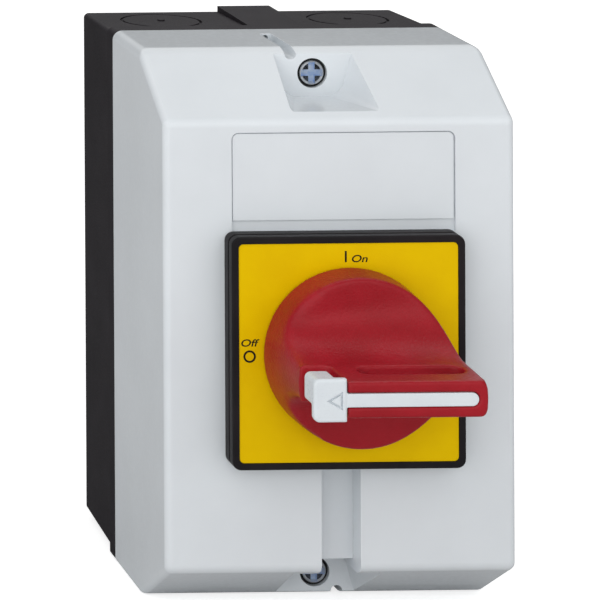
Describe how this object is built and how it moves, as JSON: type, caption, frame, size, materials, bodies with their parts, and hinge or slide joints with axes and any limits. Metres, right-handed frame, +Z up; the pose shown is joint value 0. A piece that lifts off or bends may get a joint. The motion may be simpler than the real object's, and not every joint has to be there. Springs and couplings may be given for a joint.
{
  "type": "rotary isolator switch",
  "caption": "Wall-mounted enclosed rotary isolator with a black base tray, light grey cover, yellow legend plate, red handle and white padlock slide.",
  "frame": {"origin": "middle of the base tray's back face, on the wall", "axes": "+X to the right and +Z up as seen from the front, +Y into the wall, so the front faces -Y"},
  "size_m": [0.0908, 0.1316, 0.145],
  "materials": {
    "black_plastic": "fine moulded texture",
    "light_grey_plastic": "smooth moulded, satin",
    "rubber": "matt",
    "zinc_plated_steel": "bright zinc plating",
    "spring_steel": "cold rolled",
    "yellow_laminate": "smooth laminate with black marks",
    "red_plastic": "smooth moulded, satin",
    "white_plastic": "smooth moulded",
    "grey_thermoset": "moulded",
    "orange_plastic": "moulded",
    "cream_plastic": "moulded",
    "copper": "stamped copper",
    "brass": "machined brass"
  },
  "bodies": {
    "enclosure": {"base_tray": "black_plastic", "bezel_rear": "black_plastic", "bezel_front": "black_plastic", "bezel_nut": "black_plastic", "cover": "light_grey_plastic", "label_insert": "light_grey_plastic", "cover_gasket": "rubber", "cover_screw_seals": "rubber", "bezel_seal_ring": "rubber", "shaft_seal": "rubber", "cover_screws": "zinc_plated_steel", "mounting_rail": "zinc_plated_steel", "rail_screws": "zinc_plated_steel", "terminal_screws": "zinc_plated_steel", "stack_screws": "zinc_plated_steel", "earth_screws": "zinc_plated_steel", "detent_spring_left": "spring_steel", "detent_spring_right": "spring_steel", "legend_plate": "yellow_laminate", "switch_foot": "grey_thermoset", "detent_housing": "grey_thermoset", "detent_lid": "grey_thermoset", "pole_housing_rear": "grey_thermoset", "pole_housing_middle": "grey_thermoset", "pole_housing_front": "grey_thermoset", "rail_latch": "orange_plastic", "line_contact_rear": "copper", "line_contact_middle": "copper", "line_contact_front": "copper", "load_contact_rear": "copper", "load_contact_middle": "copper", "load_contact_front": "copper", "earth_bar": "brass", "line_clamp_rear": "brass", "line_clamp_middle": "brass", "line_clamp_front": "brass", "load_clamp_rear": "brass", "load_clamp_middle": "brass", "load_clamp_front": "brass"},
    "handle_and_rotor": {"handle": "red_plastic", "drive_shaft": "zinc_plated_steel", "detent_wheel": "cream_plastic", "rotor_rear": "cream_plastic", "rotor_middle": "cream_plastic", "rotor_front": "cream_plastic", "bridge_rear": "copper", "bridge_middle": "copper", "bridge_front": "copper"},
    "padlock_slide": {"padlock_slide": "white_plastic"}
  },
  "joints": [
    {"name": "handle_turn", "type": "hinge", "parent": "enclosure", "child": "handle_and_rotor", "pos_m": [0, 0, 0], "axis": [0, 1, 0], "range_deg": [0, 90]},
    {"name": "slide_pull", "type": "slide", "parent": "handle_and_rotor", "child": "padlock_slide", "axis": [-1, 0, 0], "range_m": [0, 0.008]}
  ]
}
